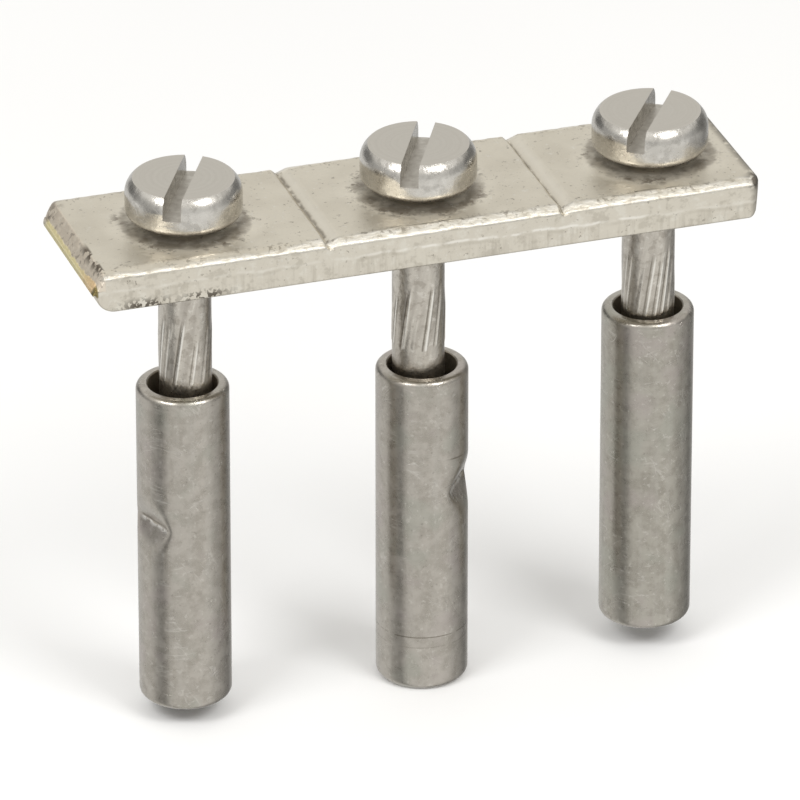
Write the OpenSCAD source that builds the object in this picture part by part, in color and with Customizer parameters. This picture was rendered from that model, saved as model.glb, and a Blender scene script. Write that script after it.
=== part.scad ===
// Screw-type jumper bar for rail terminal blocks. One plated brass bar links three
// terminals. Each pole has a captive slotted screw and a loose contact sleeve that a
// stake, punched into its wall, keeps on the screw.
// Millimetres, +Z up. X runs along the bar. The origin is on the middle screw's axis,
// in the plane of the bar's underside, where the sleeves seat when the screws are tight.

/* [Poles] */
// Distance between neighbouring screws
pole_pitch = 12; // [10:0.5:16]

/* [Bar] */
// Width of the bar, front to back
bar_w = 9; // [7.5:0.1:12]
// Thickness of the bar
bar_t = 2.1; // [1.6:0.05:3]
// Length of bar past the right screw's axis
right_reach = 4.25; // [3.6:0.05:5.5]
// Lean of the sheared right end, inwards at its bottom edge
shear_lean = 0.22; // [0:0.01:0.4]
// Rounding of the right end's bottom corner
right_corner_r = 0.4; // [0.1:0.05:0.6]
// Rounding of the right end's two corners, seen from above
end_corner_r = 0.7; // [0.1:0.05:1]
// Rounding of the long top edges and of the right end's top corner
top_edge_r = 0.28; // [0.05:0.01:0.4]
// Rounding of the long bottom edges
bottom_edge_r = 0.18; // [0.05:0.01:0.4]
// Gap all round, on the diameter, between a screw's thread and its hole in the bar
hole_clearance = 0.25; // [0.1:0.05:0.6]

/* [Break grooves] */
// Depth of the grooves where the bar can be snapped
groove_depth = 0.26; // [0.1:0.02:0.6]
// Width of a groove's steep left wall
groove_left_w = 0.26; // [0.1:0.02:0.6]
// Width of a groove's gentle right wall
groove_right_w = 0.6; // [0.2:0.05:1]

/* [Snapped end] */
// Length along the bar of the bevel, which is what is left of a groove
bevel_len = 0.55; // [0.2:0.05:0.9]
// Depth of the bevel
bevel_depth = 0.85; // [0.4:0.05:1]
// How far the bare brass lip stands out past the bevel
lip_reach = 0.1; // [0.05:0.05:0.5]
// Drop of the lip from the bevel's foot to its outermost line
lip_drop = 0.2; // [0.05:0.05:0.3]
// Undercut from the lip's outermost line to the rounded corner below
lip_undercut = 0.2; // [0:0.05:0.3]
// Largest radius of the rounded corner below the lip
left_corner_r = 1; // [0.3:0.05:1.2]

/* [Screws] */
// Length of a screw from under its head to its tip
screw_len = 25; // [22:0.5:30]
// Outside diameter of the thread
thread_d = 2.95; // [2.5:0.05:4]
// Length of the thread, measured from the tip
thread_len = 8.3; // [6:0.1:12]
// Height of the thread above the plain shank
thread_rise = 0.175; // [0.1:0.005:0.25]
// Length of the cone where the thread runs out into the shank
runout_len = 0.15; // [0.1:0.05:0.4]
// Chamfer at the tip
tip_chamfer = 0.4; // [0.1:0.05:0.8]
// Diameter of the head
head_d = 5.75; // [5:0.05:7]
// Height of the head
head_h = 1.95; // [1.6:0.05:2.6]
// Width, seen from above, of the head's crowned shoulder
head_edge_w = 0.38; // [0.2:0.02:0.6]
// Height of the head's crowned shoulder
head_edge_h = 0.8; // [0.6:0.05:1]
// Rounding of the head's bottom edge
head_foot_r = 0.4; // [0.1:0.02:0.5]
// Width of the driver slot
slot_w = 0.9; // [0.6:0.05:1.2]
// Depth of the driver slot
slot_depth = 1.05; // [0.6:0.05:1.3]
// Turn of each slot from front-to-back, left to right pole
slot_turns = [-29, -27.5, -34]; // [-90:0.5:90]
// Free height between the bar and the heads of the loose screws
head_gap = 0.4; // [0.1:0.05:1]

/* [Sleeves] */
// Length of a sleeve
sleeve_len = 17.2; // [14:0.1:20]
// Wall thickness of a sleeve
sleeve_wall = 0.575; // [0.4:0.025:0.9]
// Gap, on the diameter, between a screw's thread and the sleeve's bore
bore_clearance = 0.5; // [0.3:0.05:0.8]
// Rounding of the sleeve's outer top edge
sleeve_top_r = 0.32; // [0.05:0.01:0.4]
// Rounding of the sleeve's outer bottom edge
sleeve_foot_r = 0.42; // [0.1:0.02:0.5]
// Chamfer at both mouths of the bore
mouth_chamfer = 0.06; // [0.02:0.01:0.1]
// Distance of each stake below its sleeve's top, left to right pole
stake_depths = [7.25, 6.35, 7.55]; // [3:0.05:10]
// Direction of each stake round its sleeve, left to right pole
stake_turns = [198, 325, 70]; // [0:1:360]
// Angle between the two flanks of a stake
stake_angle = 128; // [90:2:136]
// Rounding of a stake's crest
stake_nose_r = 0.12; // [0.05:0.01:0.2]

/* [Play] */
// Gap between a stake's crest and the plain shank beside it
stake_clearance = 0.05; // [0.03:0.01:0.08]
// Gap between the thread and the bore's wall opposite the stake
side_play = 0.06; // [0.03:0.01:0.1]
// Drop left between a hanging sleeve's stake and the thread that stops it
hang_play = 0.05; // [0.02:0.01:0.2]

/* [Hidden] */
$fn = 96;

plating = [0.76, 0.74, 0.69];
screw_metal = [0.73, 0.72, 0.69];
sleeve_metal = [0.60, 0.59, 0.56];

// Room that a cutting shape takes past the surface it cuts
cut_margin = 1;
// Number of steps in a rounded corner
arc_steps = 10;

pole_x = [-pole_pitch, 0, pole_pitch];

// The bar snaps halfway between two poles, so its left end lies half a pitch past the screw.
lip_x = -1.5 * pole_pitch;
bevel_foot_x = lip_x + lip_reach;
bevel_top_x = bevel_foot_x + bevel_len;
lip_z = bar_t - bevel_depth - lip_drop;
corner_r = min(left_corner_r, lip_z);
right_x = pole_pitch + right_reach;
hole_d = thread_d + hole_clearance;

thread_r = thread_d / 2;
shank_r = thread_r - thread_rise;
under_head_z = bar_t + head_gap;
tip_z = under_head_z - screw_len;
thread_top_z = tip_z + thread_len;
head_top_z = under_head_z + head_h;

bore_r = (thread_d + bore_clearance) / 2;
sleeve_r = bore_r + sleeve_wall;

// A stake pushes its sleeve off the screw's axis until the thread is near the far wall.
sleeve_push = bore_clearance / 2 - side_play;
// Distances from the sleeve's own axis to the stake's crest inside and to its dent outside
crest_r = shank_r + stake_clearance - sleeve_push;
dent_r = crest_r + sleeve_wall;
// Distance past the rounded crest at which the two flanks would meet
nose_setback = stake_nose_r * (1 / sin(stake_angle / 2) - 1);
// The stake's lower flank rests on the thread's upper edge.
thread_lap = thread_rise - stake_clearance;
stake_hang = (thread_lap + nose_setback) * tan(stake_angle / 2) + hang_play;
stake_z = thread_top_z + stake_hang;

// Points of an arc round [x, y] with radii rx and ry, from angle a0 to angle a1
function arc(x, y, rx, ry, a0, a1) =
    [for (i = [0:arc_steps])
        let (a = a0 + (a1 - a0) * i / arc_steps)
        [x + rx * cos(a), y + ry * sin(a)]];

// Height of a sleeve's top where it hangs on its screw
function sleeve_top(pole) = stake_z + stake_depths[pole];

// Side view of the bar, snapped at its left end and sheared at its right end
function bar_side() = concat(
    [[bevel_top_x, bar_t],
     [bevel_foot_x, bar_t - bevel_depth],
     [lip_x, lip_z]],
    arc(lip_x + lip_undercut + corner_r, corner_r, corner_r, corner_r, 180, 270),
    arc(right_x - shear_lean - right_corner_r, right_corner_r, right_corner_r, right_corner_r, 270, 360),
    arc(right_x - top_edge_r, bar_t - top_edge_r, top_edge_r, top_edge_r, 0, 90));

// End view of the bar
function bar_section() =
    let (side = bar_w / 2)
    concat(
        arc(side - top_edge_r, bar_t - top_edge_r, top_edge_r, top_edge_r, 0, 90),
        arc(top_edge_r - side, bar_t - top_edge_r, top_edge_r, top_edge_r, 90, 180),
        arc(bottom_edge_r - side, bottom_edge_r, bottom_edge_r, bottom_edge_r, 180, 270),
        arc(side - bottom_edge_r, bottom_edge_r, bottom_edge_r, bottom_edge_r, 270, 360));

// The bar from above, long enough to the left to leave that end as it is
function bar_plan() =
    let (side = bar_w / 2, x = right_x - end_corner_r, y = side - end_corner_r)
    concat(
        [[lip_x - cut_margin, side], [lip_x - cut_margin, -side]],
        arc(x, -y, end_corner_r, end_corner_r, 270, 360),
        arc(x, y, end_corner_r, end_corner_r, 0, 90));

// Half section of a screw, from its tip up to the flat of its head
function screw_half() =
    let (head_r = head_d / 2,
         crown_r = (head_edge_w * head_edge_w + head_edge_h * head_edge_h) / (2 * head_edge_w))
    concat(
        [[0, tip_z],
         [thread_r - tip_chamfer, tip_z],
         [thread_r, tip_z + tip_chamfer],
         [thread_r, thread_top_z],
         [shank_r, thread_top_z + runout_len],
         [shank_r, under_head_z]],
        arc(head_r - head_foot_r, under_head_z + head_foot_r, head_foot_r, head_foot_r, 270, 360),
        arc(head_r - crown_r, head_top_z - head_edge_h, crown_r, crown_r, 0, asin(head_edge_h / crown_r)),
        [[0, head_top_z]]);

// Half section of a sleeve, with its bottom end at zero
function sleeve_half() = concat(
    [[bore_r, mouth_chamfer],
     [bore_r + mouth_chamfer, 0]],
    arc(sleeve_r - sleeve_foot_r, sleeve_foot_r, sleeve_foot_r, sleeve_foot_r, 270, 360),
    arc(sleeve_r - sleeve_top_r, sleeve_len - sleeve_top_r, sleeve_top_r, sleeve_top_r, 0, 90),
    [[bore_r + mouth_chamfer, sleeve_len],
     [bore_r, sleeve_len - mouth_chamfer]]);

// Outline of a stake, with its rounded crest at the given radius and its flanks opening outwards
function stake_outline(crest) =
    let (half = stake_angle / 2,
         reach = sleeve_r + cut_margin,
         mouth = (reach - crest + nose_setback) * tan(half))
    concat(
        [[reach, mouth]],
        arc(crest + stake_nose_r, 0, stake_nose_r, stake_nose_r, 90 + half, 270 - half),
        [[reach, -mouth]]);

// A straight wedge across the sleeve, as the punch leaves it
module stake_wedge(crest) {
    rotate([90, 0, 0])
        linear_extrude(2 * sleeve_r + cut_margin, center = true)
            polygon(stake_outline(crest));
}

module break_groove(x) {
    rotate([90, 0, 0])
        linear_extrude(bar_w + cut_margin, center = true)
            polygon([[x - groove_left_w, bar_t],
                     [x, bar_t - groove_depth],
                     [x + groove_right_w, bar_t],
                     [x + groove_right_w, bar_t + cut_margin],
                     [x - groove_left_w, bar_t + cut_margin]]);
}

module bar_blank() {
    intersection() {
        rotate([90, 0, 0])
            linear_extrude(bar_w + cut_margin, center = true)
                polygon(bar_side());
        translate([lip_x - cut_margin, 0, 0])
            rotate([90, 0, 90])
                linear_extrude(right_x - lip_x + 2 * cut_margin)
                    polygon(bar_section());
        translate([0, 0, -cut_margin])
            linear_extrude(bar_t + 2 * cut_margin)
                polygon(bar_plan());
    }
}

module screw(pole) {
    translate([pole_x[pole], 0, 0])
        difference() {
            rotate_extrude()
                polygon(screw_half());
            rotate([0, 0, slot_turns[pole]])
                translate([-slot_w / 2, -head_d / 2 - cut_margin, head_top_z - slot_depth])
                    cube([slot_w, head_d + 2 * cut_margin, slot_depth + cut_margin]);
        }
}

module sleeve(pole) {
    stake_height = sleeve_len - stake_depths[pole];
    translate([pole_x[pole], 0, sleeve_top(pole) - sleeve_len])
        rotate([0, 0, stake_turns[pole]])
            translate([sleeve_push, 0, 0])
                difference() {
                    union() {
                        rotate_extrude()
                            polygon(sleeve_half());
                        intersection() {
                            translate([0, 0, stake_height])
                                stake_wedge(crest_r);
                            cylinder(h = sleeve_len, r = bore_r + sleeve_wall / 2);
                        }
                    }
                    translate([0, 0, stake_height])
                        stake_wedge(dent_r);
                }
}

module jumper_bar() {
    color(plating)
        difference() {
            bar_blank();
            for (x = pole_x)
                translate([x, 0, -cut_margin])
                    cylinder(h = bar_t + 2 * cut_margin, d = hole_d);
            for (side = [-1, 1])
                break_groove(side * pole_pitch / 2);
        }
}

module left_screw() {
    color(screw_metal) screw(0);
}

module middle_screw() {
    color(screw_metal) screw(1);
}

module right_screw() {
    color(screw_metal) screw(2);
}

module left_sleeve() {
    color(sleeve_metal) sleeve(0);
}

module middle_sleeve() {
    color(sleeve_metal) sleeve(1);
}

module right_sleeve() {
    color(sleeve_metal) sleeve(2);
}

jumper_bar();
left_screw();
middle_screw();
right_screw();
left_sleeve();
middle_sleeve();
right_sleeve();
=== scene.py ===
"""Looks of the terminal block jumper bar: plated bar, captive screws and contact sleeves."""

import math

import bmesh
import bpy
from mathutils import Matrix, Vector, noise


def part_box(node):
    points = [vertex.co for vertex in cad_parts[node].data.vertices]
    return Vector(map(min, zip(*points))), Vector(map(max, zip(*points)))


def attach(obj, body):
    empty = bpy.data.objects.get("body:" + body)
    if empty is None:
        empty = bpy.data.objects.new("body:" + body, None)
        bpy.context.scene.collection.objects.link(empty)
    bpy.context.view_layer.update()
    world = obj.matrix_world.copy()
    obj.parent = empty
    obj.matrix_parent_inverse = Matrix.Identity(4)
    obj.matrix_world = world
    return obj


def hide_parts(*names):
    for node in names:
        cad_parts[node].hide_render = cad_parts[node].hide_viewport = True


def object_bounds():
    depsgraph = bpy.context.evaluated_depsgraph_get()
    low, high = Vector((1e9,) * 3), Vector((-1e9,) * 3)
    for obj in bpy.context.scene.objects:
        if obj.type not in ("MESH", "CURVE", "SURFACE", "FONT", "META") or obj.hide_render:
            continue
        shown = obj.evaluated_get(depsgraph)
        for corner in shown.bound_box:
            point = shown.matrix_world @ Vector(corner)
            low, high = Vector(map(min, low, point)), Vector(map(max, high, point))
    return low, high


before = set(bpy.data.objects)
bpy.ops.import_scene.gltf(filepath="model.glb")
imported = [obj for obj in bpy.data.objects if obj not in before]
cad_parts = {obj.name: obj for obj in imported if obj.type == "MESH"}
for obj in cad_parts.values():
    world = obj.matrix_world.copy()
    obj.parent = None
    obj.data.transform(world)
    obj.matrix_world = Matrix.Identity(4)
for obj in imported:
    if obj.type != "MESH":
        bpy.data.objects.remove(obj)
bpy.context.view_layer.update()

# Lengths are in millimetres and angles in degrees where nothing else is said
MM = 0.001
POLES = ("left", "middle", "right")
PITCH = 12.0
POLE_X = (-PITCH, 0.0, PITCH)
GROOVE_X = (-PITCH / 2, PITCH / 2)
SHARP, TURNED_SHARP = 32.0, 40.0
# Radius of the small ring that closes a turned piece on its axis, and steps along its rounded edges
AXIS_R, TURNED_ROUND_STEPS = 0.02, 8
# Signs of a rectangle's corners, in order round it
CORNERS = ((-1, -1), (1, -1), (1, 1), (-1, 1))

# Bar: sizes that the box of its CAD node doesn't give
HOLE_R, HOLE_PAST, HOLE_STEPS = 1.6, 1.0, 96
TOP_EDGE_R, BOTTOM_EDGE_R = 0.28, 0.18
WORN_W, WORN_H = 0.5, 0.3
RIGHT_CORNER_R, SHEAR_LEAN, END_CORNER_R = 0.4, 0.22, 0.7
GROOVE_DEPTH, GROOVE_LEFT_W, GROOVE_RIGHT_W, GROOVE_FOOT = 0.26, 0.26, 0.6, 0.9
BEVEL_LEN, BEVEL_DEPTH, BEVEL_SOFT = 0.55, 0.85, 0.14
LIP_REACH, LIP_DROP, LIP_UNDERCUT = 0.1, 0.2, 0.2
LEFT_CORNER_R, CRUSHED_CORNER_R = 1.0, 0.8
# Bar: slope and round of a worn edge, nicks along it, and waves of the top
WORN_SLOPE, WORN_ROUND = 1.3, 0.625
FINE_NICK, LONG_NICK, LONG_NICK_FROM, NICK_REACH, NICK_INWARD = 0.05, 0.07, 0.2, 0.35, 0.6
WAVE, WORN_FROM_H = 0.008, 0.5
GROOVE_BEND, GROOVE_JAG = 0.05, 0.02
# Bar: points along the runs of an outline, and where along the bar the outlines stand
TOP_POINTS, EDGE_POINTS, SIDE_POINTS, ROUND_POINTS, BOTTOM_POINTS = 58, 10, 12, 5, 40
LEFT_FINE, RIGHT_FINE, FINE_STEP, BODY_STEP = 1.2, 0.7, 0.03, 0.11
GROOVE_STATIONS = (-0.31, -0.26, -0.2, -0.13, -0.06, 0.0, 0.05, 0.6)
LEAST_H, EDGE_SHARE = 0.004, 0.45

# Screws
SCREW_STEPS = 192
HEAD_H, HEAD_EDGE_W, HEAD_EDGE_H, HEAD_FOOT_R, HEAD_STEP = 1.95, 0.38, 0.8, 0.4, 0.4
# Smallest rings of the head's flat underside and top, and gaps between its rounds and the next ring
UNDER_RING_R, TOP_RING_R, FOOT_GAP, CROWN_GAP, CROWN_STEPS = 0.6, 0.1, 0.1, 0.15, 14
SLOT_W, SLOT_DEPTH, SLOT_PAST = 0.9, 1.05, 1.0
SLOT_TURNS = (-29.0, -27.5, -34.0)
# Heights above the head's underside of the stem's end, which is inside the head
STEM_TOP = (0.25, 0.24, 0.2)
SHANK_R, SHANK_STEP = 1.3, 0.5
THREAD_R, THREAD_ROOT_R, THREAD_PITCH, THREAD_STEP = 1.475, 1.19, 0.5, 0.04
THREAD_LEN, RUNOUT, THREAD_RISE, TIP_CHAMFER = 8.3, 0.15, 0.5, 0.4
# Shares of half a thread's pitch: its flat crest and its flank
CREST_SHARE, FLANK_SHARE = 0.12, 0.62
# Ridges that rolling left on each shank, and the furrow beside each ridge
RIDGES = (15, 13, 18)
RIDGE_W, RIDGE_H, RIDGE_LEAN, RIDGE_STEP = 0.11, 0.046, 0.14, 0.08
RIDGE_TOP, RIDGE_FOOT, RIDGE_TOP_SPREAD, RIDGE_FOOT_SPREAD = -1.6, -6.2, 2.4, 0.3
RIDGE_TOP_RUN, RIDGE_FOOT_RUN, RIDGE_MARGIN = 1.2, 0.2, (0.1, 0.4)
# Shares: how far a ridge strays from an even place, and the least of its full height
RIDGE_STRAY, RIDGE_LEAST = 0.9, 0.2
FURROW_W, FURROW_DEPTH = 0.09, 0.02

# Sleeves
SLEEVE_STEPS, SLEEVE_STEP = 160, 0.4
BORE_R, SLEEVE_TOP_R, SLEEVE_FOOT_R, MOUTH = 1.725, 0.32, 0.42, 0.06
STAKE_Z, STAKE_ANGLE, STAKE_REACH, STAKE_STEP = -13.866, 128.0, 2.4, 0.05
# Distances from the axis of the stake's crest in the bore and of its dent outside, and their softness
CREST_R, DENT_R, CREST_SOFT, DENT_SOFT = 1.16, 1.735, 0.04, 0.3
# Half width of the stake, in full and at its ends
STAKE_HALF_W = (0.9, 1.7)
# Height and darkness of the thin scores round each sleeve
SCORES = ((), ((-21.72, 0.75), (-22.3, 0.3)), ())

# Where the normal's part along an axis makes a face belong to the top or to a side
FACING = (0.6, 0.85)
# Dirty smear and painted shade round the heads: the disc's edge, the ring of painted shade under each head's
# rim, the disc's rim and the crumbs along it
FILM_R, RING_R, RIM_R, RIM_CRUMBS_R = 3.1, 2.7, 3.05, 3.2
# Height on the bar's sides of the line between the burnished band and the tears, and distance of the
# burred edges from the bar's middle
SHEAR_Z, BURR_Y = 1.12, 4.0
# Grime along the bar's lower front edge: place, half width and amount
GRIME = ((-15.5, 1.8, 1.0), (-12.3, 1.4, 1.0), (-13.0, 5.0, 0.35))
# Slants, in radians, of the handling scratches on the sleeves
SCRATCH_SLANTS = (0.5, 1.9)
# Depth of the fine unevenness of each metal
BAR_BUMP, SCREW_BUMP, SLEEVE_BUMP = 0.012, 0.025, 0.009

BAR_COLOURS = {
    "plating": (0.72, 0.67, 0.565), "plating_dull": (0.65, 0.60, 0.50), "plating_fine": (0.70, 0.66, 0.575),
    "side": (0.72, 0.675, 0.59), "side_dull": (0.50, 0.46, 0.385), "side_pale": (0.79, 0.755, 0.67),
    "speck": (0.22, 0.19, 0.15), "crumb": (0.80, 0.77, 0.70),
    "film_and_shade": (0.30, 0.26, 0.205), "under_head_shade": (0.15, 0.125, 0.09), "film_crumb": (0.72, 0.68, 0.60),
    "rim": (0.25, 0.215, 0.165), "rim_crumb": (0.17, 0.14, 0.105),
    "groove_wall_light": (0.82, 0.775, 0.68), "groove_shade": (0.20, 0.17, 0.13),
    "shear_shade": (0.46, 0.42, 0.345), "shear_line": (0.94, 0.91, 0.84), "tear": (0.42, 0.38, 0.31),
    "grime": (0.09, 0.075, 0.055),
    "bevel": (0.80, 0.715, 0.60), "bevel_pale": (0.88, 0.81, 0.70), "bevel_spot": (0.24, 0.20, 0.16),
    "blotch": (0.11, 0.085, 0.06),
    "brass": (0.97, 0.87, 0.52), "brass_front": (0.97, 0.73, 0.43), "brass_end": (0.22, 0.17, 0.05),
    "burr_and_highlight": (0.80, 0.77, 0.70), "burr_dark": (0.38, 0.34, 0.27), "grit": (0.24, 0.205, 0.155),
    "smudge": (0.14, 0.12, 0.095),
}
SCREW_COLOURS = {
    "plating": (0.60, 0.575, 0.53), "plating_pale": (0.69, 0.665, 0.62),
    "flat": (0.56, 0.53, 0.475), "flat_pale": (0.59, 0.56, 0.505),
    "rub": (0.37, 0.35, 0.32), "lower_side_shade": (0.36, 0.34, 0.31), "slot": (0.26, 0.23, 0.185),
    "shank": (0.46, 0.425, 0.375), "shank_pale": (0.62, 0.58, 0.515),
    "spot": (0.33, 0.295, 0.25), "spot_pale": (0.76, 0.725, 0.66),
    "furrow": (0.17, 0.15, 0.12), "crest": (0.88, 0.85, 0.79), "under_bar_shade": (0.24, 0.21, 0.17),
    "thread_root": (0.30, 0.27, 0.225),
}
SLEEVE_COLOURS = {
    "streak": (0.50, 0.475, 0.43), "warm": (0.47, 0.42, 0.395), "cool": (0.41, 0.41, 0.355),
    "speck": (0.66, 0.63, 0.575), "pit": (0.24, 0.22, 0.19), "scratch": (0.66, 0.63, 0.58),
    "stake_highlight": (0.88, 0.85, 0.80), "stake_shade": (0.15, 0.125, 0.09), "score": (0.13, 0.11, 0.08),
    "bore": (0.40, 0.35, 0.275),
}
# Dark and pale tone of each sleeve. The right one is a little darker
SLEEVE_TONES = (
    ((0.39, 0.36, 0.315), (0.50, 0.465, 0.415)),
    ((0.39, 0.36, 0.315), (0.50, 0.465, 0.415)),
    ((0.35, 0.325, 0.28), (0.455, 0.43, 0.375)),
)

# Floor and studio. The rings give grey levels by compass direction, counted from the front
FLOOR_HALF, FLOOR_GAP = 600.0, 0.01
FLOOR_TONES, FLOOR_ROUGH = ((0.93, 0.93, 0.93), (0.95, 0.95, 0.95)), 0.9
LOW_RING = ((-180, 0.75), (-110, 0.85), (-91, 0.5), (-72, 0.25), (-56, 0.9), (40, 0.95), (80, 0.55),
            (115, 0.25), (150, 0.7), (180, 0.75))
LEVEL_RING = ((-180, 0.8), (-171, 0.55), (-157, 0.17), (-136, 0.17), (-120, 0.48), (-90, 0.5), (-55, 0.75),
              (40, 0.75), (75, 0.4), (100, 0.2), (125, 0.2), (142, 0.55), (156, 0.85), (180, 0.8))
RING_BLUE = 0.985
CEILING = (0.85, 0.84, 0.815)
# Heights of a direction, as sines, between which one part of the studio passes into the next
LOW_TO_LEVEL, LEVEL_TO_CEILING = (-0.15, 0.0), (0.28, 0.56)
# Name, azimuth and elevation of each lamp. They share a distance and a size in metres, and a power in watts
LAMPS = (("left_box", -64, 46), ("right_box", 27, 46))
LAMP_DISTANCE, LAMP_SIZE, LAMP_POWER = 0.25, 0.10, 0.20
# Camera, with its clip distances in metres
CAMERA_AZIMUTH, CAMERA_ELEVATION, CAMERA_DISTANCE = -18.4065, 27.1084, 492.75
CAMERA_TARGET = (-2.352, -4.228, -7.188)
CAMERA_SENSOR, CAMERA_CLIP = 36.0, (0.01, 10.0)
# Half the image in pixels, and pixels per millimetre at the target
HALF_IMAGE_PX, PX_PER_MM = 400, 20.4619


def clamp(v, low=0.0, high=1.0):
    return max(low, min(high, v))


def ease(v, a, b):
    """0 up to a, 1 from b on, smooth between."""
    t = clamp((v - a) / (b - a))
    return t * t * (3 - 2 * t)


def arc(x, y, r, a0, a1, steps):
    """Points on an arc, both ends included, angles in degrees."""
    turn = [math.radians(a0 + (a1 - a0) * i / steps) for i in range(steps + 1)]
    return [(x + r * math.cos(a), y + r * math.sin(a)) for a in turn]


def worn_edge(side, top, wide, tall, steps):
    """Outline from a flat top to an upright side at y = side: a slope that ends in a round."""
    made = []
    for i in range(steps + 1):
        run = math.sin(math.pi / 2 * i / steps)
        drop = 1 - max(0.0, 1 - run ** WORN_SLOPE) ** WORN_ROUND
        made.append((side - math.copysign(wide * (1 - run), side), top - tall * drop))
    return made


def line(p, q, n):
    """n points from p towards q, without q."""
    return [(p[0] + (q[0] - p[0]) * i / n, p[1] + (q[1] - p[1]) * i / n) for i in range(n)]


def span(a, b, step):
    """Values from a up to but not including b, about step apart."""
    n = max(1, round(abs(b - a) / step))
    return [a + (b - a) * i / n for i in range(n)]


def grain(x, y, z, seed=0.0):
    """Smooth noise from about -1 to 1 at a point."""
    return noise.noise(Vector((x + seed, y - seed, z + 0.37 * seed)))


def direction(azimuth, elevation):
    """Unit vector towards an azimuth, counted from the front, and an elevation."""
    a, e = math.radians(azimuth), math.radians(elevation)
    return Vector((math.sin(a) * math.cos(e), -math.cos(a) * math.cos(e), math.sin(e)))


def mesh_object(name, points, faces, sharp=SHARP):
    """A smooth-shaded mesh object from points in millimetres."""
    mesh = bpy.data.meshes.new(name)
    mesh.from_pydata([(x * MM, y * MM, z * MM) for x, y, z in points], [], faces)
    mesh.validate()
    finish_mesh(mesh, sharp)
    obj = bpy.data.objects.new(name, mesh)
    bpy.context.scene.collection.objects.link(obj)
    return obj


def finish_mesh(mesh, sharp):
    """Turns a mesh's faces outwards and shades it smooth, except over sharp edges."""
    shell = bmesh.new()
    shell.from_mesh(mesh)
    bmesh.ops.recalc_face_normals(shell, faces=shell.faces)
    closed = all(edge.is_manifold for edge in shell.edges)
    if closed and shell.calc_volume(signed=True) < 0:
        bmesh.ops.reverse_faces(shell, faces=shell.faces)
    shell.to_mesh(mesh)
    shell.free()
    mesh.polygons.foreach_set("use_smooth", [True] * len(mesh.polygons))
    mesh.set_sharp_from_angle(angle=math.radians(sharp))
    mesh.update()


def ring_faces(rings, per_ring, closed):
    """Quads between rings of equal size. A closed stack joins its last ring to its first."""
    faces = []
    for i in range(rings if closed else rings - 1):
        a, b = i * per_ring, (i + 1) % rings * per_ring
        for j in range(per_ring):
            k = (j + 1) % per_ring
            faces.append((a + j, a + k, b + k, b + j))
    if not closed:
        faces.append(tuple(reversed(range(per_ring))))
        faces.append(tuple(range((rings - 1) * per_ring, rings * per_ring)))
    return faces


def lathe(profile, steps, warp=None):
    """Points of a profile of (radius, height) turned round Z, each passed through warp."""
    points = []
    for r, z in profile:
        for j in range(steps):
            a = 2 * math.pi * j / steps
            p = (r * math.cos(a), r * math.sin(a), z)
            points.append(warp(*p) if warp else p)
    return points


def cut(obj, tool):
    """Takes tool out of obj and removes tool."""
    mod = obj.modifiers.new("cut", "BOOLEAN")
    mod.operation, mod.solver, mod.object = "DIFFERENCE", "MANIFOLD", tool
    dg = bpy.context.evaluated_depsgraph_get()
    mesh = bpy.data.meshes.new_from_object(obj.evaluated_get(dg))
    obj.modifiers.clear()
    old, obj.data = obj.data, mesh
    bpy.data.meshes.remove(old)
    bpy.data.objects.remove(tool)
    finish_mesh(mesh, SHARP)


def join(obj, other):
    """Puts other's mesh into obj."""
    both = [obj, other]
    with bpy.context.temp_override(active_object=obj, selected_objects=both, selected_editable_objects=both):
        bpy.ops.object.join()


def place(obj, x, y, body, node, material):
    """Puts a piece built round the origin on its axis, in place of a CAD node."""
    obj.location = (x * MM, y * MM, 0)
    obj.data.materials.clear()
    obj.data.materials.append(material)
    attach(obj, body)
    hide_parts(node)


class Graph:
    """A node tree, written as nested calls that return sockets."""

    # Sockets of the Mix node for colours
    MIX_A, MIX_B, MIX_OUT = 6, 7, 2

    def __init__(self, tree):
        self.tree = tree

    def add(self, kind, *values, **settings):
        made = self.tree.nodes.new("ShaderNode" + kind)
        for key, value in settings.items():
            setattr(made, key, value)
        for i, value in enumerate(values):
            self.put(value, made.inputs[i])
        return made

    def put(self, value, socket):
        """Links a socket or sets a value. Colours are given as red, green and blue."""
        if isinstance(value, bpy.types.NodeSocket):
            self.tree.links.new(value, socket)
        elif value is not None:
            socket.default_value = (*value, 1.0) if socket.type == "RGBA" else value

    def split(self, vector):
        return self.add("SeparateXYZ", vector).outputs

    def join(self, x, y, z):
        return self.add("CombineXYZ", x, y, z).outputs[0]

    def math(self, operation, *values):
        return self.add("Math", *values, operation=operation).outputs[0]

    def vector(self, operation, *values):
        return self.add("VectorMath", *values, operation=operation).outputs[0]

    def times(self, *values):
        made = values[0]
        for value in values[1:]:
            made = self.math("MULTIPLY", made, value)
        return made

    def plus(self, *values):
        made = values[0]
        for value in values[1:]:
            made = self.math("ADD", made, value)
        return made

    def minus(self, a, b):
        return self.math("SUBTRACT", a, b)

    def size(self, value):
        return self.math("ABSOLUTE", value)

    def distance(self, x, y):
        return self.math("SQRT", self.plus(self.times(x, x), self.times(y, y)))

    def fade(self, value, a, b, low=0.0, high=1.0, kind="SMOOTHSTEP"):
        """low where value is a or before it, high from b on, smooth between."""
        return self.add("MapRange", value, a, b, low, high, interpolation_type=kind).outputs[0]

    def near(self, value, centre, width):
        """1 at centre, falling to 0 at width from it."""
        return self.fade(self.size(self.minus(value, centre)), 0.0, width, 1.0, 0.0)

    def mix(self, factor, a, b):
        made = self.add("Mix", factor, data_type="RGBA")
        self.put(a, made.inputs[self.MIX_A])
        self.put(b, made.inputs[self.MIX_B])
        return made.outputs[self.MIX_OUT]


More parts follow.
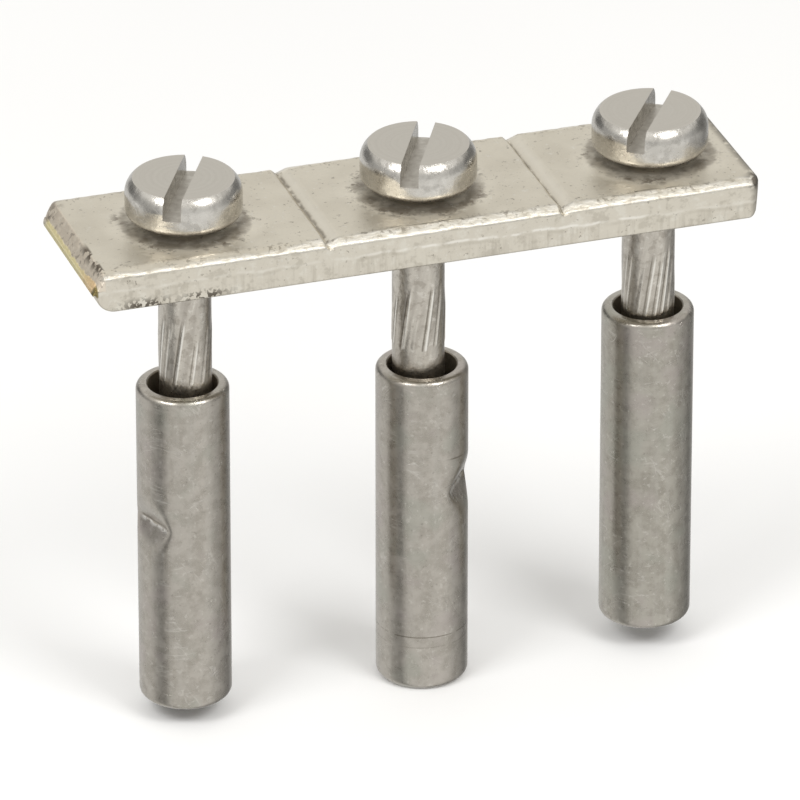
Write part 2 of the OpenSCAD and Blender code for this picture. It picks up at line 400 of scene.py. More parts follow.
class Material(Graph):
    """A material's nodes, in millimetres. Its colours are laid one over another."""

    def __init__(self, name, shift=None):
        """shift moves the noises, so that pieces of one kind differ."""
        self.material = bpy.data.materials.new(name)
        self.material.use_nodes = True
        super().__init__(self.material.node_tree)
        self.shader = self.tree.nodes["Principled BSDF"]
        coords = self.add("TexCoord")
        scaled = self.add("VectorMath", coords.outputs["Object"], operation="SCALE")
        scaled.inputs["Scale"].default_value = 1 / MM
        self.mm = scaled.outputs[0]
        self.x, self.y, self.z = self.split(self.mm)
        _, self.ny, self.nz = self.split(coords.outputs["Normal"])
        self.at = self.vector("ADD", self.mm, shift) if shift else self.mm
        self.colour = None

    def noise(self, scale, detail=2.0, rough=0.5, at=None):
        return self.add("TexNoise", at or self.at, None, scale, detail, rough).outputs[0]

    def spots(self, scale, low, high, detail=2.0, rough=0.5):
        """Patches where a noise passes from low to high."""
        return self.fade(self.noise(scale, detail, rough), low, high)

    def swing(self, scale, width, detail=2.0, at=None):
        """Noise about zero."""
        return self.times(self.minus(self.noise(scale, detail, at=at), 0.5), width)

    def paint(self, colour, *mask):
        """Lays a colour over what is there, as thickly as the product of the mask's values."""
        self.colour = self.mix(self.times(*mask), self.colour, colour)

    def bump(self, height, depth):
        made = self.add("Bump")
        made.inputs["Strength"].default_value = 1.0
        made.inputs["Distance"].default_value = depth * MM
        self.put(height, made.inputs["Height"])
        return made.outputs[0]

    def done(self, roughness, normal=None, metallic=1.0):
        self.put(self.colour, self.shader.inputs["Base Color"])
        self.put(roughness, self.shader.inputs["Roughness"])
        self.put(normal, self.shader.inputs["Normal"])
        self.put(metallic, self.shader.inputs["Metallic"])
        return self.material


def bar_material(left, right, top):
    """Worn, dirty plating, with tears and bare brass where the photo shows them, and painted shade and light
    by the heads, in the grooves and along the top edges.
    """
    g, tint = Material("bar_plating"), BAR_COLOURS
    upward = g.fade(g.nz, *FACING)
    side = g.fade(g.size(g.ny), *FACING)
    fine = g.noise(7.0, 3.0, 0.6)
    mottle = g.noise(1.4, 5.0, 0.65)
    crumb = g.spots(3.1, 0.60, 0.68, 4.0, 0.7)
    g.colour = g.mix(g.spots(0.45, 0.35, 0.7, 3.0), tint["plating"], tint["plating_dull"])
    g.paint(tint["plating_fine"], g.fade(fine, 0.35, 0.75, 0.0, 0.45))
    g.paint(tint["side"], side, 0.6)
    g.paint(tint["side_dull"], side, g.fade(mottle, 0.52, 0.64), 0.55)
    g.paint(tint["side_pale"], side, g.fade(mottle, 0.46, 0.36), 0.6)

    # Dark specks in the plating, in loose clusters, and paler crumbs
    g.paint(tint["speck"], g.spots(4.2, 0.61, 0.68, 3.0, 0.65), g.spots(0.9, 0.40, 0.60), 0.7)
    g.paint(tint["crumb"], crumb, 0.5)

    # Round each screw: a darker disc, partly a dirty, less metallic smear and partly painted shade, darkest
    # in a ring of painted shade under the head's rim, with crumbs along its rim
    reach = g.distance(g.math("WRAP", g.x, PITCH / 2, -PITCH / 2), g.y)
    ragged = g.plus(reach, g.swing(2.0, 0.7, 4.0))
    film_and_shade = g.times(g.fade(ragged, FILM_R + 1.2, FILM_R), upward)
    thick = g.fade(g.noise(0.8, 4.0, 0.6), 0.38, 0.58, 0.35, 1.0)
    # Painted shade and dirty smear: the darker disc round the head
    g.paint(tint["film_and_shade"], g.fade(ragged, FILM_R + 0.25, FILM_R), upward, thick, 0.42)
    # Painted shade: the dark ring under the head's rim
    g.paint(tint["under_head_shade"], upward, g.near(ragged, RING_R, 0.65), thick, 0.75)
    g.paint(tint["film_crumb"], film_and_shade, crumb, 0.4)
    g.paint(tint["rim"], upward, g.near(ragged, RIM_R, 0.4), g.spots(0.7, 0.40, 0.58, 3.0), 0.5)
    g.paint(tint["rim_crumb"], upward, g.near(reach, RIM_CRUMBS_R, 0.6), g.spots(2.7, 0.50, 0.58, 4.0, 0.65),
            g.spots(0.6, 0.43, 0.55), 0.75)

    # Break grooves: painted light on the rubbed right wall, and painted shade along the bottom
    past = g.minus(g.math("WRAP", g.x, PITCH, 0.0), PITCH / 2)
    g.paint(tint["groove_wall_light"], g.near(past, 0.36, 0.42), g.fade(g.z, top - 0.4, top - 0.25),
            g.fade(g.size(g.x), 8.0, 7.5), 0.7)
    wavy_x = g.size(g.plus(g.x, g.swing(1.5, 0.2)))
    g.paint(tint["groove_shade"], g.near(wavy_x, PITCH / 2 - 0.05, 0.16), g.fade(g.z, top - 0.4, top - 0.3),
            g.spots(2.4, 0.3, 0.55, 3.0), 0.75)

    # Sheared sides: a burnished upper band, a bright line under it and upright tears below
    wander = g.swing(0.5, 0.5, at=g.join(g.x, 0.0, 0.0))
    level = g.plus(g.z, wander, g.times(g.math("MAXIMUM", g.x, 0.0), 0.012))
    tears = g.noise(1.0, 3.0, at=g.join(g.times(g.x, 5.0), g.y, g.times(g.z, 0.5)))
    torn = g.times(side, g.fade(level, SHEAR_Z - 0.07, SHEAR_Z - 0.22))
    g.paint(tint["shear_shade"], side, g.near(level, SHEAR_Z - 0.17, 0.16), g.spots(0.8, 0.42, 0.58), 0.3)
    g.paint(tint["shear_line"], side, g.near(level, SHEAR_Z, 0.12), g.spots(0.9, 0.38, 0.54, 3.0),
            g.fade(g.x, -6.0, -1.0, 0.3, 1.0), g.fade(g.x, 9.0, 12.0, 1.0, 0.3), 0.8)
    g.paint(tint["tear"], torn, g.fade(tears, 0.45, 0.75), 0.35)
    grime = g.plus(*(g.times(g.near(g.x, x, width), amount) for x, width, amount in GRIME))
    g.paint(tint["grime"], side, g.fade(g.z, 0.75, 0.2), g.math("MINIMUM", grime, 1.0),
            g.spots(5.2, 0.50, 0.55, 1.0), 0.9)

    # Snapped end: a grey bevel with spots, and dark blotches along its upper edge and at the back
    edge_x, foot_z = left + LIP_REACH + BEVEL_LEN, top - BEVEL_DEPTH
    bevel = g.times(g.fade(g.x, edge_x + 0.07, edge_x - 0.05), g.fade(g.z, foot_z - 0.07, foot_z + 0.01))
    crumbled = g.noise(2.6, 4.0, 0.6)
    g.paint(tint["bevel"], bevel, 0.9)
    g.paint(tint["bevel_pale"], bevel, g.fade(crumbled, 0.5, 0.35), 0.6)
    bevel_spots = g.times(bevel, g.spots(3.4, 0.60, 0.68), 0.45)
    back_corner = g.times(g.fade(g.x, edge_x + 0.45, edge_x + 0.05), g.fade(g.y, 2.9, 3.7),
                          g.fade(crumbled, 0.42, 0.55), 0.5)
    g.paint(tint["bevel_spot"], g.plus(bevel_spots, back_corner))
    g.paint(tint["blotch"], g.near(g.z, top - 0.1, 0.42), g.fade(g.x, edge_x + 0.15, edge_x + 0.05),
            g.fade(g.y, -0.6, -1.6), g.spots(1.7, 0.46, 0.54, 4.0, 0.55), 0.9)

    # A thin lip of bare brass at the bevel's foot, redder towards the front and dark at its end
    lip_z = g.plus(g.z, g.swing(2.5, 0.25), g.fade(g.y, -2.6, -4.2, 0.0, -0.16))
    lip = g.times(g.fade(g.x, left + 0.32, left + 0.24), g.fade(lip_z, foot_z - 0.53, foot_z - 0.43),
                  g.fade(lip_z, foot_z + 0.17, foot_z + 0.08), g.fade(g.y, 3.9, 3.3))
    brass = g.mix(g.fade(g.y, -1.5, -4.0), tint["brass"], tint["brass_front"])
    brass = g.mix(g.fade(g.y, -4.05, -4.3), brass, tint["brass_end"])
    g.paint(brass, lip, 0.92)

    # Long top edges: a coarse, burred band, wider at the left, painted pale as a painted highlight along the
    # edge, with grit beside it
    uneven = g.plus(g.size(g.y), g.swing(0.9, 0.4, 3.0), g.fade(g.x, -6.5, -8.5, 0.0, -0.3))
    edge = g.times(g.fade(uneven, BURR_Y - 0.12, BURR_Y + 0.12), g.fade(g.z, top - 0.4, top - 0.28))
    burr_and_highlight = g.noise(1.0, 3.0, 0.55, g.join(g.times(g.x, 1.6), g.times(g.y, 3.5), g.times(g.z, 3.0)))
    # Painted highlight and burr: the pale band along the edge
    g.paint(tint["burr_and_highlight"], edge, g.fade(burr_and_highlight, 0.40, 0.56, 0.25, 0.9))
    g.paint(tint["burr_dark"], edge, g.fade(burr_and_highlight, 0.42, 0.34), 0.45)
    g.paint(tint["grit"], g.fade(g.z, top - 0.35, top - 0.25), g.near(g.size(g.y), BURR_Y + 0.1, 0.55),
            g.spots(4.6, 0.55, 0.63), g.spots(0.5, 0.38, 0.55), 0.6)

    # Dark smudge on the right end's upper corners
    smudge = g.times(g.fade(g.x, right - 0.95, right - 0.25), g.fade(g.y, -3.4, -4.0),
                     g.near(g.z, top - 0.25, 0.55))
    smudge = g.plus(smudge, g.times(g.near(g.x, right - 0.2, 0.4), g.near(g.z, top - 0.1, 0.3), 0.8))
    g.paint(tint["smudge"], g.math("MINIMUM", g.times(smudge, g.spots(2.2, 0.34, 0.5, 3.0)), 0.9))

    rough = g.plus(g.fade(fine, 0.3, 0.8, 0.34, 0.48), g.times(edge, 0.14), g.times(bevel, 0.15))
    height = g.plus(g.times(fine, 0.4), g.times(g.noise(2.3, 4.0), 0.8), g.times(torn, tears, 1.2),
                    g.times(crumb, 0.5), g.times(edge, burr_and_highlight, 6.5), g.times(bevel, crumbled, 4.0),
                    g.times(lip, crumbled, 3.0))
    return g.done(rough, g.bump(height, BAR_BUMP), g.minus(1.0, g.times(film_and_shade, 0.42)))


def screw_material(seed, slot_turn, top, thread_start):
    """Turned plating. slot_turn is in radians."""
    g, tint = Material("screw_plating_" + str(seed), (seed * 17.0, seed * 5.0, 0.0)), SCREW_COLOURS
    under = top - HEAD_H
    head = g.fade(g.z, under, under + 0.1)
    flat = g.times(head, g.fade(g.nz, 0.97, 0.995))
    round_side = g.minus(head, flat)
    reach = g.distance(g.x, g.y)
    fine = g.noise(8.0, 3.0, 0.6)
    g.colour = g.mix(g.spots(1.1, 0.35, 0.7, 3.0), tint["plating"], tint["plating_pale"])

    # Turned top: faint rings. Sides of the head: rubbed patches, and painted shade on their lower part
    rings = g.noise(1.0, 3.0, at=g.join(g.times(reach, 6.0), seed * 3.0, 0.0))
    g.paint(g.mix(g.fade(rings, 0.3, 0.7), tint["flat"], tint["flat_pale"]), flat)
    rub = g.times(round_side, g.spots(1.7, 0.47, 0.62, 5.0, 0.65))
    g.paint(tint["rub"], rub, 0.45)
    # Painted shade: the lower side of the head darker, in patches
    g.paint(tint["lower_side_shade"], g.fade(g.z, under + 1.5, under + 0.7), round_side,
            g.spots(0.9, 0.42, 0.6, 4.0, 0.6), 0.25)
    dings = g.times(round_side, g.noise(2.4, 1.5))

    # Driver slot: dull and a little dirty
    across = g.plus(g.times(g.x, math.cos(slot_turn)), g.times(g.y, math.sin(slot_turn)))
    slot_foot = top - SLOT_DEPTH
    slot = g.times(g.fade(g.size(across), SLOT_W / 2 + 0.03, SLOT_W / 2),
                   g.fade(g.z, slot_foot - 0.1, slot_foot))
    g.paint(tint["slot"], slot, g.fade(g.noise(2.4, 4.0, 0.6), 0.35, 0.65, 0.0, 0.35))

    # Shank: smooth, with ridges whose rubbed crests carry a painted highlight, painted shade in the furrows
    # beside them and painted shade just under the bar
    thread = g.fade(g.z, thread_start + 0.05, thread_start - 0.25)
    shank = g.minus(g.minus(1.0, head), thread)
    around = g.plus(g.times(g.math("ARCTAN2", g.y, g.x), SHANK_R), g.times(g.z, -0.19))
    broad = g.noise(1.0, 3.0, 0.6, g.join(g.times(around, 1.6), g.times(g.z, 0.2), seed * 9.0))
    spots = g.noise(2.6, 4.0, 0.6)
    g.paint(g.mix(g.fade(broad, 0.35, 0.65), tint["shank"], tint["shank_pale"]), shank)
    g.paint(tint["spot"], shank, g.fade(spots, 0.53, 0.62), 0.5)
    g.paint(tint["spot_pale"], shank, g.fade(spots, 0.42, 0.34), 0.5)
    # Painted shade in the furrows beside the ridges
    g.paint(tint["furrow"], shank, g.fade(reach, SHANK_R - 0.002, SHANK_R - 0.012), 0.75)
    # Painted highlight on the ridge crests, which are rubbed too
    g.paint(tint["crest"], shank, g.fade(reach, SHANK_R + 0.006, SHANK_R + 0.028), 0.9)
    # Painted shade just under the bar
    g.paint(tint["under_bar_shade"], shank, g.fade(g.z, -1.0, -0.1),
            g.fade(g.noise(1.6, 3.0), 0.3, 0.6, 0.4, 1.0), 0.45)

    # Thread: roots darker than the crests
    g.paint(tint["thread_root"], thread, g.fade(reach, THREAD_ROOT_R + 0.19, THREAD_ROOT_R + 0.03), 0.7)

    rough = g.plus(g.fade(fine, 0.3, 0.8, 0.21, 0.30), g.times(flat, 0.16), g.times(shank, 0.06))
    height = g.plus(g.times(fine, 0.07), g.times(rings, flat, 0.3), g.times(broad, shank, 0.2),
                    g.times(spots, shank, 1.2), g.times(rub, -0.15), g.times(dings, 0.45))
    return g.done(rough, g.bump(height, SCREW_BUMP))


def sleeve_material(seed, turn, scores, tones):
    """Drawn plating. turn is the stake's direction, in radians."""
    g, tint = Material("sleeve_plating_" + str(seed), (seed * 13.0, seed * 7.0, 0.0)), SLEEVE_COLOURS
    streaks = g.noise(1.0, 4.0, 0.6, g.vector("MULTIPLY", g.at, (2.2, 2.2, 0.10)))
    fine = g.noise(6.5, 3.0, 0.6)
    cloud = g.noise(1.5, 5.0, 0.65)
    hue = g.noise(0.45)
    g.colour = g.mix(g.fade(cloud, 0.36, 0.64), *tones)
    g.paint(tint["streak"], g.fade(streaks, 0.4, 0.7, 0.0, 0.35))
    g.paint(tint["warm"], g.fade(hue, 0.55, 0.7, 0.0, 0.5))
    g.paint(tint["cool"], g.fade(hue, 0.45, 0.3, 0.0, 0.5))
    g.paint(tint["speck"], g.spots(3.6, 0.60, 0.68, 3.0, 0.6), 0.4)
    g.paint(tint["pit"], g.spots(4.6, 0.38, 0.28, 3.0, 0.65), 0.5)

    # Handling scratches: short crisp lines that lie across each other
    lines = []
    for slant in SCRATCH_SLANTS:
        c, s = math.cos(slant), math.sin(slant)
        across = g.plus(g.times(g.plus(g.x, g.y), c), g.times(g.z, s))
        along = g.plus(g.times(g.plus(g.x, g.y), -s), g.times(g.z, c))
        field = g.noise(1.0, 1.0, at=g.join(g.times(across, 3.4), g.times(along, 0.6), seed * 6.0 + slant))
        lines.append(g.near(field, 0.5, 0.02))
    lines = g.times(g.plus(*lines), g.spots(0.8, 0.5, 0.62))
    g.paint(tint["scratch"], lines, 0.4)

    # Stake: a painted highlight along the pinched line with painted shade over it, on the wall's outside
    outward = g.plus(g.times(g.x, math.cos(turn)), g.times(g.y, math.sin(turn)))
    aside = g.size(g.minus(g.times(g.y, math.cos(turn)), g.times(g.x, math.sin(turn))))
    crease = g.times(g.fade(outward, DENT_R - 0.185, DENT_R - 0.035), g.fade(aside, 1.25, 0.85))
    wavy_z = g.plus(g.z, g.swing(1.8, 0.25))
    g.paint(tint["stake_highlight"], crease, g.near(wavy_z, STAKE_Z - 0.07, 0.15), g.spots(3.0, 0.35, 0.5), 0.85)
    g.paint(tint["stake_shade"], crease, g.near(wavy_z, STAKE_Z + 0.16, 0.15), g.spots(1.6, 0.36, 0.5), 0.8)

    # Scores: thin dark lines round the wall, and a short nick above the stake
    for height, depth in scores:
        g.paint(tint["score"], g.near(g.plus(g.z, g.swing(0.5, 0.12)), height, 0.05),
                g.spots(0.9, 0.36, 0.44, 3.0), depth)
    if scores:
        falling = g.plus(g.z, g.times(g.x, 0.12))
        g.paint(tint["score"], g.near(falling, STAKE_Z + 2.0, 0.07), g.fade(g.y, -1.1, -1.4),
                g.near(g.x, 1.1, 0.75), 0.7)

    # Bore: dull
    inside = g.fade(g.distance(g.x, g.y), BORE_R + 0.035, BORE_R + 0.005)
    g.paint(tint["bore"], inside, 0.9)

    rough = g.plus(g.fade(fine, 0.3, 0.8, 0.27, 0.36), g.times(g.minus(cloud, 0.5), 0.2),
                   g.times(inside, 0.25))
    height = g.plus(g.times(fine, 0.35), g.times(streaks, 0.6), g.times(cloud, 0.8), g.times(lines, -0.6))
    return g.done(rough, g.bump(height, SLEEVE_BUMP))


def bar_top(x, left, right, high):
    """Height of the bar's upper outline at x, before its grooves."""
    foot = left + LIP_REACH
    if x < foot:
        return high - BEVEL_DEPTH - LIP_DROP * (foot - x) / LIP_REACH
    if x < foot + BEVEL_LEN + 4 * BEVEL_SOFT:
        fall = BEVEL_DEPTH * (foot + BEVEL_LEN - x) / BEVEL_LEN
        return high - (fall + math.hypot(fall, BEVEL_SOFT)) / 2
    if x > right - TOP_EDGE_R:
        off = clamp((x - right + TOP_EDGE_R) / TOP_EDGE_R)
        return high - TOP_EDGE_R * (1 - math.sqrt(1 - off * off))
    return high


def bar_bottom(x, left, right, high):
    """Height of the bar's lower outline at x."""
    lip_z = high - BEVEL_DEPTH - LIP_DROP
    wall = left + LIP_UNDERCUT
    if x < wall:
        return lip_z + (LEFT_CORNER_R - lip_z) * (x - left) / LIP_UNDERCUT
    if x < wall + LEFT_CORNER_R:
        off = 1 - (x - wall) / LEFT_CORNER_R
        return LEFT_CORNER_R * (1 - math.sqrt(1 - off * off))
    foot = right - SHEAR_LEAN
    if x > foot:
        return RIGHT_CORNER_R + (high - TOP_EDGE_R - RIGHT_CORNER_R) * (x - foot) / SHEAR_LEAN
    if x > foot - RIGHT_CORNER_R:
        off = 1 - (foot - x) / RIGHT_CORNER_R
        return RIGHT_CORNER_R * (1 - math.sqrt(1 - off * off))
    return 0.0


def corner_cut(past, radius):
    """How far a corner that is round in plan pulls a side in. past is negative short of the bar's end."""
    run = past + radius
    if run <= 0:
        return 0.0
    return radius - math.sqrt(max(0.0, radius ** 2 - run ** 2))


def groove_drop(x, y):
    """Depth of the break grooves at a point of the top, with a ragged edge."""
    drop = 0.0
    for centre in GROOVE_X:
        bend = GROOVE_BEND * grain(0.0, 0.9 * y, centre)
        off = x - centre - bend - GROOVE_JAG * grain(0.0, 4.0 * y, centre)
        if -GROOVE_LEFT_W < off <= 0:
            drop = GROOVE_DEPTH * (1 + off / GROOVE_LEFT_W)
        elif 0 < off < GROOVE_RIGHT_W:
            drop = GROOVE_DEPTH * (1 - off / GROOVE_RIGHT_W)
    return drop


def bar_outline(front, back, t, b, wide, rt, rb):
    """Points round the bar: its top from front to back, its back, its bottom and its front."""
    ring = line((wide - front, t), (back - wide, t), TOP_POINTS)
    ring += worn_edge(back, t, wide, rt, EDGE_POINTS)[:-1]
    ring += line((back, t - rt), (back, b + rb), SIDE_POINTS)
    ring += arc(back - rb, b + rb, rb, 0, -90, ROUND_POINTS)[:-1]
    ring += line((back - rb, b), (rb - front, b), BOTTOM_POINTS)
    ring += arc(rb - front, b + rb, rb, 270, 180, ROUND_POINTS)[:-1]
    ring += line((-front, b + rb), (-front, t - rt), SIDE_POINTS)
    return ring + worn_edge(-front, t, wide, rt, EDGE_POINTS)[:0:-1]


def build_bar():
    """The bar: outlines across it, worn and grooved point by point, with the screws' holes cut out."""
    low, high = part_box("jumper_bar")
    left, right, top = low.x / MM, high.x / MM, high.z / MM
    width = (high.y - low.y) / MM
    stations = span(left, left + LEFT_FINE, FINE_STEP)
    stations += span(left + LEFT_FINE, right - RIGHT_FINE, BODY_STEP)
    stations += span(right - RIGHT_FINE, right, FINE_STEP) + [right]
    stations += [c + d for c in GROOVE_X for d in GROOVE_STATIONS]
    stations = sorted(set(round(s, 4) for s in stations))
    points, per_ring = [], 0
    for x in stations:
        t = bar_top(x, left, right, top)
        b = bar_bottom(x, left, right, top)
        tall = max(t - b, LEAST_H)
        rt, rb = min(WORN_H, EDGE_SHARE * tall), min(BOTTOM_EDGE_R, EDGE_SHARE * tall)
        wide = rt * WORN_W / WORN_H
        front = back = width / 2
        front -= corner_cut(x - right, END_CORNER_R)
        back -= corner_cut(x - right, END_CORNER_R) + corner_cut(left - x, CRUSHED_CORNER_R)
        ring = bar_outline(front, back, t, b, wide, rt, rb)
        per_ring = len(ring)
        full = clamp(tall / WORN_FROM_H)
        for y, z in ring:
            on_top = clamp((z - t + rt) / rt)
            drop = 0.0
            if z > GROOVE_FOOT:
                drop = groove_drop(x, y) * clamp((z - GROOVE_FOOT) / (t - GROOVE_FOOT))
            off = (back - y) if y > 0 else (y + front)
            edge = clamp(1 - abs(off - 0.5 * wide) / NICK_REACH) * on_top
            nick = (FINE_NICK * max(0.0, grain(3.5 * x, 2 * y, 0, 3))
                    + LONG_NICK * max(0.0, grain(1.3 * x, y, 0, 7) - LONG_NICK_FROM))
            wave = WAVE * grain(0.7 * x, 0.7 * y, z, 11) - WAVE / 2
            z -= drop + full * (edge * nick + on_top * abs(wave))
            y -= math.copysign(full * edge * NICK_INWARD * nick, y)
            points.append((x, y, z))
    obj = mesh_object("plated_bar", points, ring_faces(len(stations), per_ring, False))
    rod = lathe([(HOLE_R, -HOLE_PAST), (HOLE_R, top + HOLE_PAST)], HOLE_STEPS)
    for pole_x in POLE_X:
        hole = [(x + pole_x, y, z) for x, y, z in rod]
        cut(obj, mesh_object("hole", hole, ring_faces(2, HOLE_STEPS, False)))
    material = bar_material(round(left, 3), round(right, 3), round(top, 3))
    place(obj, 0, 0, "bar", "jumper_bar", material)


def shank_ridges(seed, count):
    """Angle, upper end, lower end and height of each ridge that rolling left on a shank."""
    made = []
    for k in range(count):
        a, b, c, d = [0.5 + 0.5 * clamp(1.6 * grain(0.73 * k + 0.4, 2.31 * s + 0.2, 1.57 * seed), -1, 1)
                      for s in range(4)]
        made.append((2 * math.pi * (k + RIDGE_STRAY * (a - 0.5)) / count, RIDGE_TOP - RIDGE_TOP_SPREAD * b,
                     RIDGE_FOOT - RIDGE_FOOT_SPREAD * c, RIDGE_H * (RIDGE_LEAST + (1 - RIDGE_LEAST) * d)))
    return made


def ridge_height(ridges, a, z):
    """Height of the leaning, round-ended ridges, and of the furrow beside each, at a place on a shank."""
    high = low = 0.0
    for turn, top, foot, height in ridges:
        if foot < z < top:
            off = SHANK_R * ((a - turn - RIDGE_LEAN * z / SHANK_R + math.pi) % (2 * math.pi) - math.pi)
            ends = ease(z, foot, foot + RIDGE_FOOT_RUN) * ease(-z, -top, RIDGE_TOP_RUN - top)
            high = max(high, height * ends * ease(RIDGE_W - abs(off), 0.0, RIDGE_W))
            beside = abs(off + RIDGE_W + FURROW_W / 2)
            low = max(low, FURROW_DEPTH * height / RIDGE_H * ends * ease(FURROW_W - beside, 0.0, FURROW_W))
    return high if high > 0 else -low


def thread_radius(a, z, tip, start):
    """Radius of the thread at an angle and a height. It rises from the shank below start."""
    phase = (z / THREAD_PITCH - a / (2 * math.pi)) % 1.0
    depth = clamp((abs(phase - 0.5) * 2 - CREST_SHARE) / FLANK_SHARE)
    full = THREAD_ROOT_R + (THREAD_R - THREAD_ROOT_R) * (1 - depth)
    here = SHANK_R + (full - SHANK_R) * clamp((start - z) / THREAD_RISE)
    return min(here, THREAD_R - TIP_CHAMFER + max(0.0, z - tip))


def build_stem(name, under, tip, thread_start, ridges):
    """A screw's shank and thread, from inside its head to its tip."""
    ridged = (RIDGE_TOP + RIDGE_MARGIN[0], RIDGE_FOOT - RIDGE_MARGIN[1])
    shank = span(under + STEM_TOP[2], ridged[0], SHANK_STEP) + span(*ridged, RIDGE_STEP)
    shank += span(ridged[1], thread_start, SHANK_STEP)
    # Rings that have no radius here are on the thread
    profile = [(AXIS_R, under + STEM_TOP[0]), (SHANK_R, under + STEM_TOP[1])] + [(SHANK_R, z) for z in shank]
    profile += [(None, z) for z in span(thread_start, tip, THREAD_STEP)] + [(None, tip), (AXIS_R, tip)]
    points = []
    for r, z in profile:
        for j in range(SCREW_STEPS):
            a = 2 * math.pi * j / SCREW_STEPS
            if r is None:
                here = thread_radius(a, z, tip, thread_start)
            elif ridged[1] < z < ridged[0]:
                here = r + ridge_height(ridges, a, z)
            else:
                here = r
            points.append((here * math.cos(a), here * math.sin(a), z))
    return mesh_object(name, points, ring_faces(len(profile), SCREW_STEPS, False), TURNED_SHARP)


def build_head(head_r, under, top, turn):
    """A pan head with its driver slot at turn, in radians."""
    section = [(AXIS_R, under)]
    section += [(r, under) for r in span(UNDER_RING_R, head_r - HEAD_FOOT_R, HEAD_STEP)]
    section += arc(head_r - HEAD_FOOT_R, under + HEAD_FOOT_R, HEAD_FOOT_R, -90, 0, TURNED_ROUND_STEPS)
    section += [(head_r, z) for z in span(under + HEAD_FOOT_R + FOOT_GAP, top - HEAD_EDGE_H, HEAD_STEP / 2)]
    crown_r = (HEAD_EDGE_W ** 2 + HEAD_EDGE_H ** 2) / (2 * HEAD_EDGE_W)
    crown_end = math.degrees(math.asin(HEAD_EDGE_H / crown_r))
    section += arc(head_r - crown_r, top - HEAD_EDGE_H, crown_r, 0, crown_end, CROWN_STEPS)
    section += [(r, top) for r in span(head_r - HEAD_EDGE_W - CROWN_GAP, TOP_RING_R, HEAD_STEP)]
    section += [(AXIS_R, top)]
    head = mesh_object("head", lathe(section, SCREW_STEPS), ring_faces(len(section), SCREW_STEPS, False))
    far = head_r + SLOT_PAST
    box = [(sx * SLOT_W / 2, sy * far, z) for z in (top - SLOT_DEPTH, top + SLOT_PAST) for sx, sy in CORNERS]
    box = [(x * math.cos(turn) - y * math.sin(turn), x * math.sin(turn) + y * math.cos(turn), z)
           for x, y, z in box]
    cut(head, mesh_object("slot", box, ring_faces(2, len(CORNERS), False)))
    return head


def build_screw(index):
    """One screw: its stem and its head in one mesh."""
    node = POLES[index] + "_screw"
    low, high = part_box(node)
    axis_x = (low.x + high.x) / 2 / MM
    head_r = (high.x - low.x) / 2 / MM
    tip, top = low.z / MM, high.z / MM
    thread_start = tip + THREAD_LEN + RUNOUT
    turn = math.radians(SLOT_TURNS[index])
    ridges = shank_ridges(index + 1, RIDGES[index])
    obj = build_stem(node + "_threaded", top - HEAD_H, tip, thread_start, ridges)
    join(obj, build_head(head_r, top - HEAD_H, top, turn))
    material = screw_material(index + 1, turn, round(top, 3), round(thread_start, 3))
    place(obj, axis_x, 0, node, node, material)


def build_sleeve(index):
    """One sleeve: a turned tube, pushed in at its stake."""
    node = POLES[index] + "_sleeve"
    low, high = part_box(node)
    centre = (low + high) / 2 / MM
    outer_r = (high.x - low.x) / 2 / MM
    bottom, top = low.z / MM, high.z / MM
    # The stake pushes the sleeve off the screw's axis, so the offset tells its direction
    turn = math.atan2(centre.y, centre.x - POLE_X[index])
    wall = span(bottom + SLEEVE_FOOT_R, top - SLEEVE_TOP_R, SLEEVE_STEP)
    wall += span(STAKE_Z - STAKE_REACH, STAKE_Z + STAKE_REACH, STAKE_STEP)
    wall = sorted(set(round(z, 4) for z in wall))[1:]
    bore = [z for z in wall if bottom + 2 * MOUTH < z < top - 2 * MOUTH]
    foot_r, top_r, steps = SLEEVE_FOOT_R, SLEEVE_TOP_R, TURNED_ROUND_STEPS
    profile = arc(outer_r - foot_r, bottom + foot_r, foot_r, -90, 0, steps)
    profile += [(outer_r, z) for z in wall]
    profile += arc(outer_r - top_r, top - top_r, top_r, 0, 90, steps)
    profile += [(BORE_R + MOUTH, top), (BORE_R, top - MOUTH)] + [(BORE_R, z) for z in reversed(bore)]
    profile += [(BORE_R, bottom + MOUTH), (BORE_R + MOUTH, bottom)]
    slope = 1 / math.tan(math.radians(STAKE_ANGLE / 2))

    def warp(x, y, z):
        """Pushes the wall in behind the stake's crest, with rounded edges."""
        along = x * math.cos(turn) + y * math.sin(turn)
        floor = DENT_R if math.hypot(x, y) > (BORE_R + outer_r) / 2 else CREST_R
        off = z - STAKE_Z
        gap = floor + slope * (math.sqrt(off * off + CREST_SOFT * CREST_SOFT) - CREST_SOFT) - along
        if gap < DENT_SOFT:
            aside = abs(y * math.cos(turn) - x * math.sin(turn))
            push = gap if gap < -DENT_SOFT else -(DENT_SOFT - gap) ** 2 / (4 * DENT_SOFT)
            push *= 1 - ease(aside, *STAKE_HALF_W)
            x += push * math.cos(turn)
            y += push * math.sin(turn)
        return x, y, z

    obj = mesh_object(node + "_staked", lathe(profile, SLEEVE_STEPS, warp),
                      ring_faces(len(profile), SLEEVE_STEPS, True), TURNED_SHARP)
    material = sleeve_material(index + 1, turn, SCORES[index], SLEEVE_TONES[index])
    place(obj, centre.x, centre.y, node, node, material)


def build_floor():
    """A pale floor just under the part, kept out of the metal's reflections."""
    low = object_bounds()[0]
    z = low.z / MM - FLOOR_GAP
    rim = [(sx * FLOOR_HALF, sy * FLOOR_HALF, z) for sx, sy in CORNERS]
    floor = mesh_object("floor", rim, [(0, 1, 2, 3)])
    g = Material("floor")
    g.colour = g.mix(g.spots(0.02, 0.3, 0.7), *FLOOR_TONES)
    floor.data.materials.append(g.done(FLOOR_ROUGH, metallic=0.0))
    g.shader.inputs["Specular IOR Level"].default_value = 0.0
    floor.visible_glossy = False


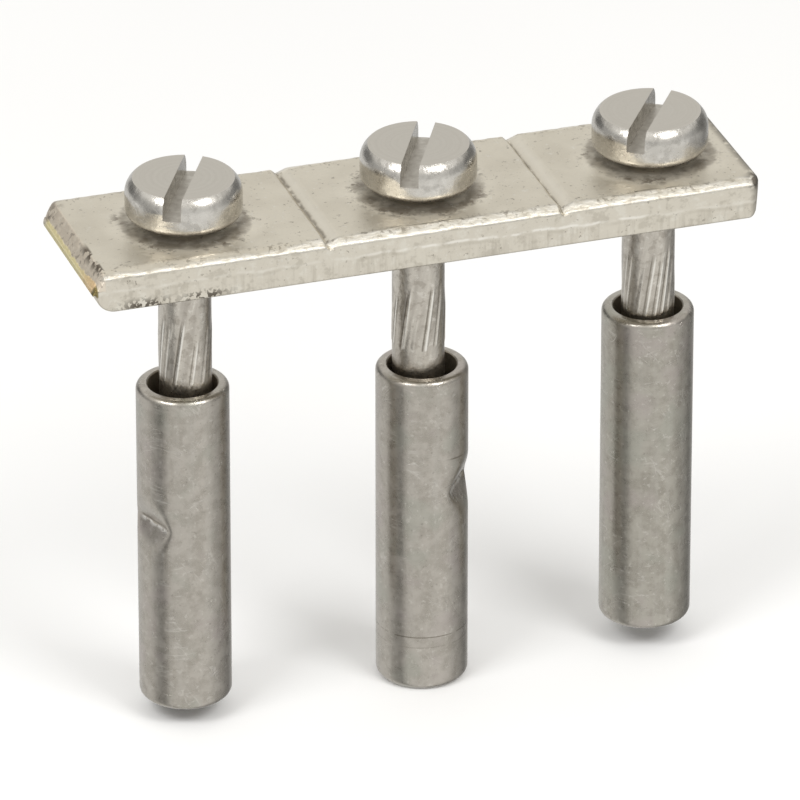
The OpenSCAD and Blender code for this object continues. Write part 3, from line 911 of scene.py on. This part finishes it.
def build_world():
    """Below the horizon, grey walls and pale openings. At it, dark sides. Overhead, an even pale ceiling."""
    world = bpy.data.worlds.new("studio")
    bpy.context.scene.world = world
    world.use_nodes = True
    g = Graph(world.node_tree)
    x, y, height = g.split(g.add("TexCoord").outputs["Generated"])
    compass = g.math("ARCTAN2", x, g.times(y, -1.0))
    compass = g.fade(compass, -math.pi, math.pi, kind="LINEAR")

    def ring(stops):
        """Grey levels by compass direction."""
        made = g.add("ValToRGB", compass)
        made.color_ramp.interpolation = "EASE"
        while len(made.color_ramp.elements) < len(stops):
            made.color_ramp.elements.new(0.5)
        for element, (degrees, value) in zip(made.color_ramp.elements, stops):
            element.position = (degrees + 180) / 360
            element.color = (value, value, value * RING_BLUE, 1)
        return made.outputs[0]

    colour = g.mix(g.fade(height, *LOW_TO_LEVEL), ring(LOW_RING), ring(LEVEL_RING))
    colour = g.mix(g.fade(height, *LEVEL_TO_CEILING), colour, CEILING)
    g.put(colour, world.node_tree.nodes["Background"].inputs["Color"])


def build_lamp(name, azimuth, elevation):
    """A square soft box that faces the origin."""
    back = direction(azimuth, elevation)
    light = bpy.data.lights.new(name, "AREA")
    light.shape, light.size, light.size_y, light.energy = "RECTANGLE", LAMP_SIZE, LAMP_SIZE, LAMP_POWER
    obj = bpy.data.objects.new(name, light)
    obj.location = back * LAMP_DISTANCE
    obj.rotation_euler = (-back).to_track_quat("-Z", "Y").to_euler()
    bpy.context.scene.collection.objects.link(obj)


def build_camera():
    """The photo's camera."""
    back = direction(CAMERA_AZIMUTH, CAMERA_ELEVATION)
    data = bpy.data.cameras.new("camera")
    data.sensor_width = CAMERA_SENSOR
    data.lens = CAMERA_SENSOR / 2 * CAMERA_DISTANCE / (HALF_IMAGE_PX / PX_PER_MM)
    data.clip_start, data.clip_end = CAMERA_CLIP
    camera = bpy.data.objects.new("camera", data)
    camera.location = (Vector(CAMERA_TARGET) + back * CAMERA_DISTANCE) * MM
    camera.rotation_euler = (-back).to_track_quat("-Z", "Y").to_euler()
    bpy.context.scene.collection.objects.link(camera)
    bpy.context.scene.camera = camera


build_bar()
for number in range(len(POLES)):
    build_screw(number)
    build_sleeve(number)
build_floor()
build_world()
for lamp in LAMPS:
    build_lamp(*lamp)
build_camera()
bpy.context.scene.view_settings.view_transform = "Standard"
